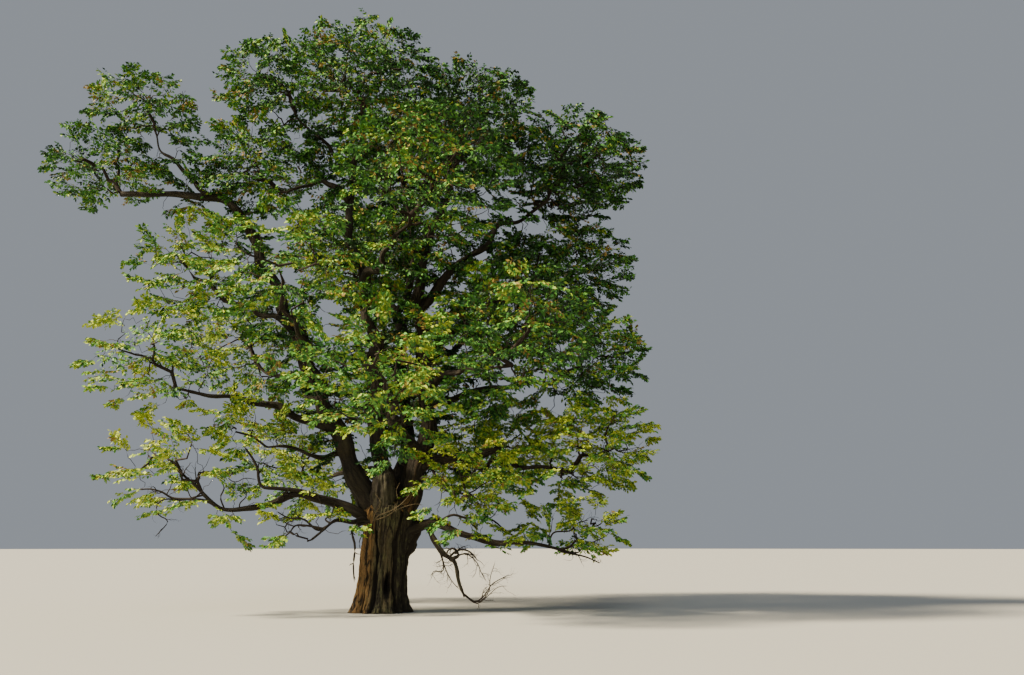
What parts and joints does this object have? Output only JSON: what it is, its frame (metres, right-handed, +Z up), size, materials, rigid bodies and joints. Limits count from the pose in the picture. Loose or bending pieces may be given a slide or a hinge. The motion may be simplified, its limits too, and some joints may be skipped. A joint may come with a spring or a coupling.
{
  "type": "european white elm tree",
  "caption": "Veteran European white elm with a short stout trunk, a low fork, long sweeping boughs, a broken leader, a hanging dead limb and a broad open crown.",
  "frame": {"origin": "middle of the flat cut under the trunk, at ground level", "axes": "+Z up the tree; +X to the right of the tree seen from the front; +Y away from the viewer, towards its back"},
  "size_m": [22.1001, 19.0452, 21.5374],
  "materials": {
    "bark": "deeply furrowed grey-brown bark",
    "bare_wood": "weathered barkless wood",
    "sunny_leaves": "thin yellow-green leaves",
    "shady_leaves": "thin deep green leaves"
  },
  "bodies": {
    "root": {"trunk": "bark", "broken_leader": "bare_wood", "left_stem": "bark", "centre_stem": "bark", "right_stem": "bark", "back_stem": "bark", "low_left": "bark", "low_right": "bark", "low_left_twiggy": "bark", "left_lower": "bark", "left_mid": "bark", "left_upper": "bark", "upper_left_tuft": "bark", "front_left_mid": "bark", "front_low": "bark", "right_low": "bark", "right_lower_inner": "bark", "right_mid": "bark", "right_upper": "bark", "right_shoulder": "bark", "front_right_mid": "bark", "front_upper": "bark", "upper_left": "bark", "top_left": "bark", "back_upper": "bark", "back_left_mid": "bark", "back_mid": "bark", "back_right_mid": "bark", "back_low_left": "bark", "back_low_right": "bark", "dead_limb": "bare_wood", "foliage_left_stem": "sunny_leaves", "foliage_centre_stem": "sunny_leaves", "foliage_right_stem": "shady_leaves", "foliage_back_stem": "shady_leaves", "foliage_low_left": "sunny_leaves", "foliage_low_right": "shady_leaves", "foliage_low_left_twiggy": "sunny_leaves", "foliage_left_lower": "sunny_leaves", "foliage_left_mid": "sunny_leaves", "foliage_left_upper": "sunny_leaves", "foliage_upper_left_tuft": "sunny_leaves", "foliage_front_left_mid": "sunny_leaves", "foliage_front_low": "shady_leaves", "foliage_right_low": "shady_leaves", "foliage_right_lower_inner": "shady_leaves", "foliage_right_mid": "shady_leaves", "foliage_right_upper": "shady_leaves", "foliage_right_shoulder": "shady_leaves", "foliage_front_right_mid": "shady_leaves", "foliage_front_upper": "shady_leaves", "foliage_upper_left": "sunny_leaves", "foliage_top_left": "sunny_leaves", "foliage_back_upper": "shady_leaves", "foliage_back_left_mid": "sunny_leaves", "foliage_back_mid": "shady_leaves", "foliage_back_right_mid": "shady_leaves", "foliage_back_low_left": "sunny_leaves", "foliage_back_low_right": "shady_leaves"}
  },
  "joints": []
}
